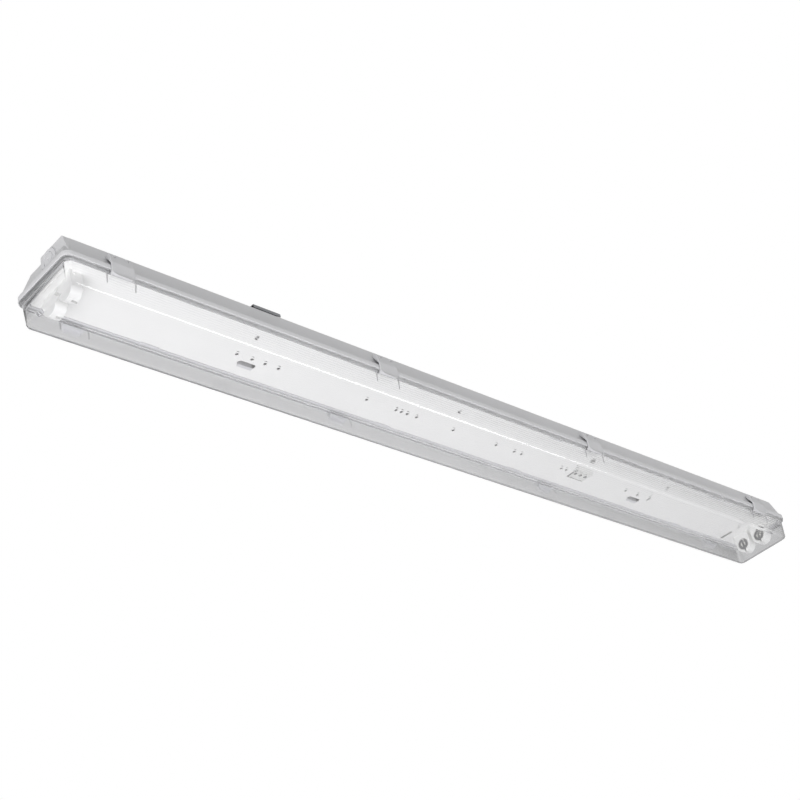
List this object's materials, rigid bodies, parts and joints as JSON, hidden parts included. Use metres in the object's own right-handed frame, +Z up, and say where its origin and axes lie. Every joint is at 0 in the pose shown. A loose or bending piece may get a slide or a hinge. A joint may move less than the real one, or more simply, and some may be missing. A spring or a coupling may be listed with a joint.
{
  "type": "vapor tight light fixture",
  "caption": "Long sealed ceiling light with a grey moulded housing, a clear ribbed cover held by side clips, and a white gear tray with holders for straight lamps.",
  "frame": {"origin": "on the ceiling plane, at the top of the bracket crowns, midway between the two ceiling brackets", "axes": "+X along the fixture, +Z up into the ceiling, -Y towards the long side that the picture shows"},
  "size_m": [1.27, 0.1058, 0.0755],
  "materials": {
    "housing_plastic": "fine moulded grey, lightly satin",
    "clip_plastic": "fine moulded grey, lightly satin",
    "clear_cover": "clear polycarbonate, glossy outside, ribbed inside",
    "gasket_foam": "closed foam, dull",
    "tray_enamel": "white enamel on sheet steel",
    "holder_plastic": "white, satin",
    "rotor_plastic": "white, satin",
    "contact_brass": "rolled brass",
    "terminal_plastic": "white, satin",
    "plated_steel": "zinc plated",
    "live_insulation": "black sleeve",
    "neutral_insulation": "white sleeve",
    "earth_insulation": "green sleeve",
    "bracket_steel": "rolled stainless steel",
    "plug_rubber": "grey, moulded ring and dot"
  },
  "bodies": {
    "fixture": {"housing": "housing_plastic", "gasket": "gasket_foam", "gear_tray": "tray_enamel", "lampholder_contacts": "contact_brass", "terminal_block": "terminal_plastic", "terminal_screws": "plated_steel", "live_wire_near": "live_insulation", "live_wire_far": "live_insulation", "neutral_wire_near": "neutral_insulation", "neutral_wire_far": "neutral_insulation", "earth_wire": "earth_insulation", "earth_terminal": "contact_brass", "earth_screw": "plated_steel", "earth_nut": "plated_steel", "bracket_left": "bracket_steel", "bracket_right": "bracket_steel", "entry_plug_left": "plug_rubber", "entry_plug_right": "plug_rubber", "lampholder_left_near": "holder_plastic", "lampholder_left_far": "holder_plastic", "lampholder_right_near": "holder_plastic", "lampholder_right_far": "holder_plastic"},
    "diffuser": {"diffuser": "clear_cover"},
    "clip_near_1": {"clip_near_1": "clip_plastic"},
    "clip_near_2": {"clip_near_2": "clip_plastic"},
    "clip_near_3": {"clip_near_3": "clip_plastic"},
    "clip_near_4": {"clip_near_4": "clip_plastic"},
    "clip_far_1": {"clip_far_1": "clip_plastic"},
    "clip_far_2": {"clip_far_2": "clip_plastic"},
    "clip_far_3": {"clip_far_3": "clip_plastic"},
    "clip_far_4": {"clip_far_4": "clip_plastic"},
    "rotor_left_near": {"rotor_left_near": "rotor_plastic"},
    "rotor_left_far": {"rotor_left_far": "rotor_plastic"},
    "rotor_right_near": {"rotor_right_near": "rotor_plastic"},
    "rotor_right_far": {"rotor_right_far": "rotor_plastic"}
  },
  "joints": [
    {"name": "diffuser_drop", "type": "slide", "parent": "fixture", "child": "diffuser", "axis": [0, 0, -1], "range_m": [0, 0.034]},
    {"name": "clip_near_1_hinge", "type": "hinge", "parent": "fixture", "child": "clip_near_1", "pos_m": [-0.5655, -0.04487, -0.0215], "axis": [-1, 0, 0], "range_deg": [0, 86]},
    {"name": "clip_near_2_hinge", "type": "hinge", "parent": "fixture", "child": "clip_near_2", "pos_m": [-0.1885, -0.04487, -0.0215], "axis": [-1, 0, 0], "range_deg": [0, 86]},
    {"name": "clip_near_3_hinge", "type": "hinge", "parent": "fixture", "child": "clip_near_3", "pos_m": [0.1885, -0.04487, -0.0215], "axis": [-1, 0, 0], "range_deg": [0, 86]},
    {"name": "clip_near_4_hinge", "type": "hinge", "parent": "fixture", "child": "clip_near_4", "pos_m": [0.5655, -0.04487, -0.0215], "axis": [-1, 0, 0], "range_deg": [0, 86]},
    {"name": "clip_far_1_hinge", "type": "hinge", "parent": "fixture", "child": "clip_far_1", "pos_m": [-0.5655, 0.04487, -0.0215], "axis": [1, 0, 0], "range_deg": [0, 86]},
    {"name": "clip_far_2_hinge", "type": "hinge", "parent": "fixture", "child": "clip_far_2", "pos_m": [-0.1885, 0.04487, -0.0215], "axis": [1, 0, 0], "range_deg": [0, 86]},
    {"name": "clip_far_3_hinge", "type": "hinge", "parent": "fixture", "child": "clip_far_3", "pos_m": [0.1885, 0.04487, -0.0215], "axis": [1, 0, 0], "range_deg": [0, 86]},
    {"name": "clip_far_4_hinge", "type": "hinge", "parent": "fixture", "child": "clip_far_4", "pos_m": [0.5655, 0.04487, -0.0215], "axis": [1, 0, 0], "range_deg": [0, 86]},
    {"name": "rotor_left_near_turn", "type": "hinge", "parent": "fixture", "child": "rotor_left_near", "pos_m": [-0.6033, -0.015, -0.059], "axis": [-1, 0, 0], "range_deg": [0, 90]},
    {"name": "rotor_left_far_turn", "type": "hinge", "parent": "fixture", "child": "rotor_left_far", "pos_m": [-0.6033, 0.015, -0.059], "axis": [-1, 0, 0], "range_deg": [0, 90]},
    {"name": "rotor_right_near_turn", "type": "hinge", "parent": "fixture", "child": "rotor_right_near", "pos_m": [0.6033, -0.015, -0.059], "axis": [1, 0, 0], "range_deg": [0, 90]},
    {"name": "rotor_right_far_turn", "type": "hinge", "parent": "fixture", "child": "rotor_right_far", "pos_m": [0.6033, 0.015, -0.059], "axis": [1, 0, 0], "range_deg": [0, 90]}
  ],
  "couplings": [
    {"joint": "clip_near_1_hinge", "follows": "diffuser_drop", "rad_per_m": 43.633},
    {"joint": "clip_near_2_hinge", "follows": "diffuser_drop", "rad_per_m": 43.633},
    {"joint": "clip_near_3_hinge", "follows": "diffuser_drop", "rad_per_m": 43.633},
    {"joint": "clip_near_4_hinge", "follows": "diffuser_drop", "rad_per_m": 43.633},
    {"joint": "clip_far_1_hinge", "follows": "diffuser_drop", "rad_per_m": 43.633},
    {"joint": "clip_far_2_hinge", "follows": "diffuser_drop", "rad_per_m": 43.633},
    {"joint": "clip_far_3_hinge", "follows": "diffuser_drop", "rad_per_m": 43.633},
    {"joint": "clip_far_4_hinge", "follows": "diffuser_drop", "rad_per_m": 43.633}
  ]
}
